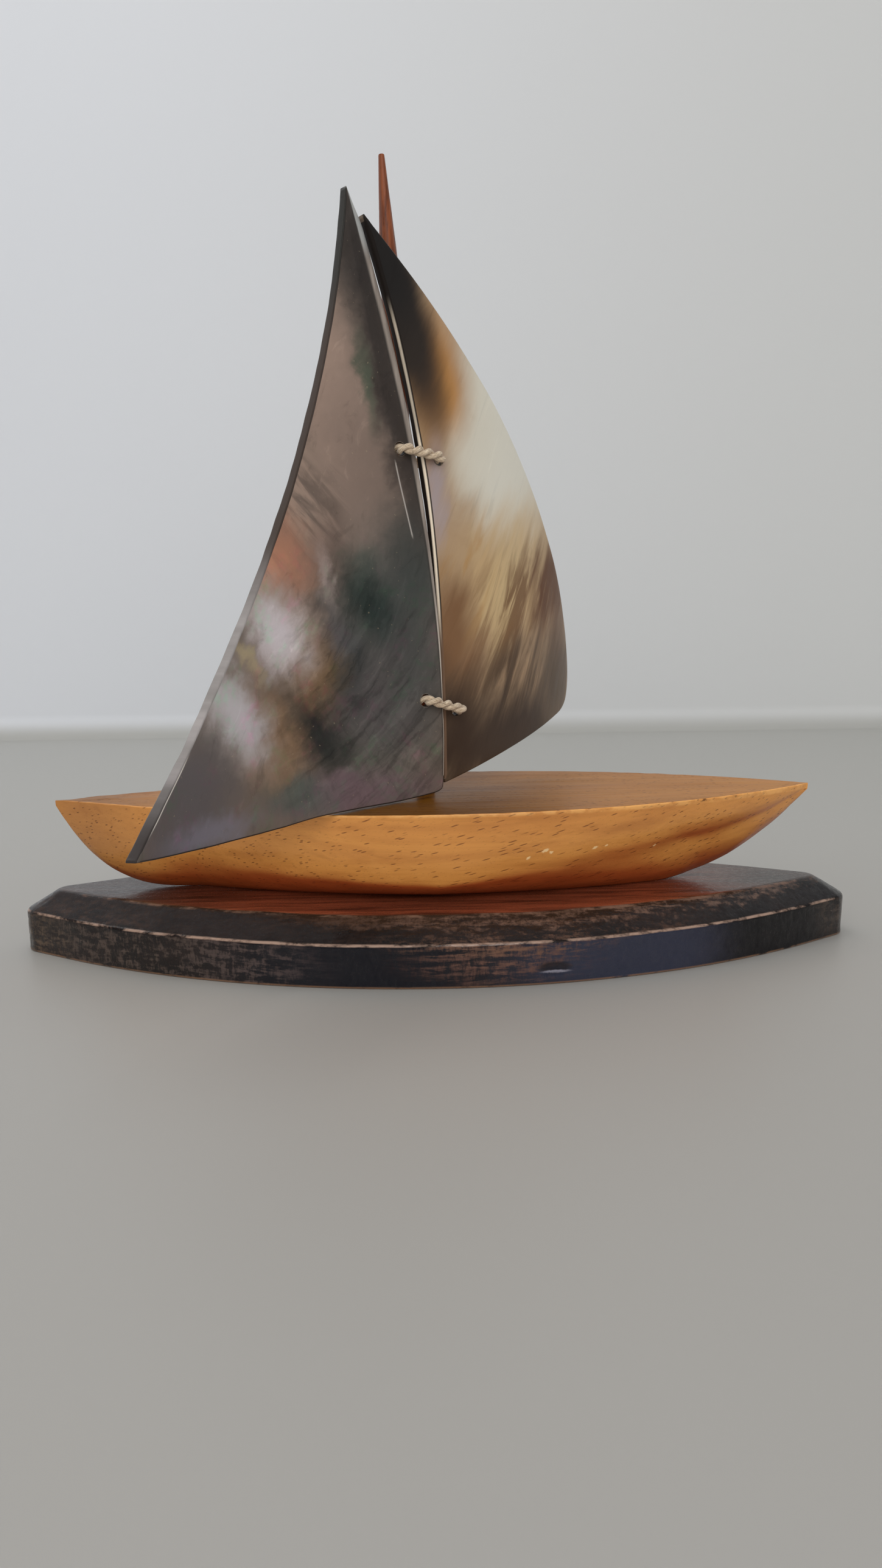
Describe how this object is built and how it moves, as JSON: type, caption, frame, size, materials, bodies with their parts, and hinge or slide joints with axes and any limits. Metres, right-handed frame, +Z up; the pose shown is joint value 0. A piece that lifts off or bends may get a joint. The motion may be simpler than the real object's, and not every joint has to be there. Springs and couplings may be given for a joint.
{
  "type": "sailboat ornament",
  "caption": "Table ornament of a sailing boat: lens-shaped chamfered plinth, carved pointed hull, leaning dowel mast and two curved shell-plate sails lashed to it with cord.",
  "frame": {"origin": "on the plinth's underside, below the middle of the hull", "axes": "+X towards the stern, +Y to starboard, +Z up the mast"},
  "size_m": [0.209, 0.1355, 0.1866],
  "materials": {
    "stained_wood": "glossy dark stain over wood, worn brown in patches",
    "varnished_wood": "satin honey varnish",
    "screw_brass": "dull machined brass",
    "mast_wood": "whittled reddish wood, satin",
    "jib_shell": "polished dark mother-of-pearl",
    "main_shell": "polished shell, cream and brown",
    "cord": "two-strand twisted cord, matt"
  },
  "bodies": {
    "boat": {"plinth": "stained_wood", "hull": "varnished_wood", "hull_screws": "screw_brass", "mast": "mast_wood"},
    "mainsail": {"mainsail": "main_shell", "upper_lashing": "cord", "lower_lashing": "cord"},
    "jib": {"jib": "jib_shell"}
  },
  "joints": [
    {"name": "rig_swing", "type": "hinge", "parent": "boat", "child": "mainsail", "pos_m": [-0.0026, -0.00045, 0.0385], "axis": [-0.0576, 0, 0.9983], "range_deg": [-10, 10]},
    {"name": "jib_flex", "type": "hinge", "parent": "mainsail", "child": "jib", "pos_m": [0.0015, -0.0053, 0.062], "axis": [-0.0964, -0.0053, 0.9953], "range_deg": [-4, 4]}
  ]
}
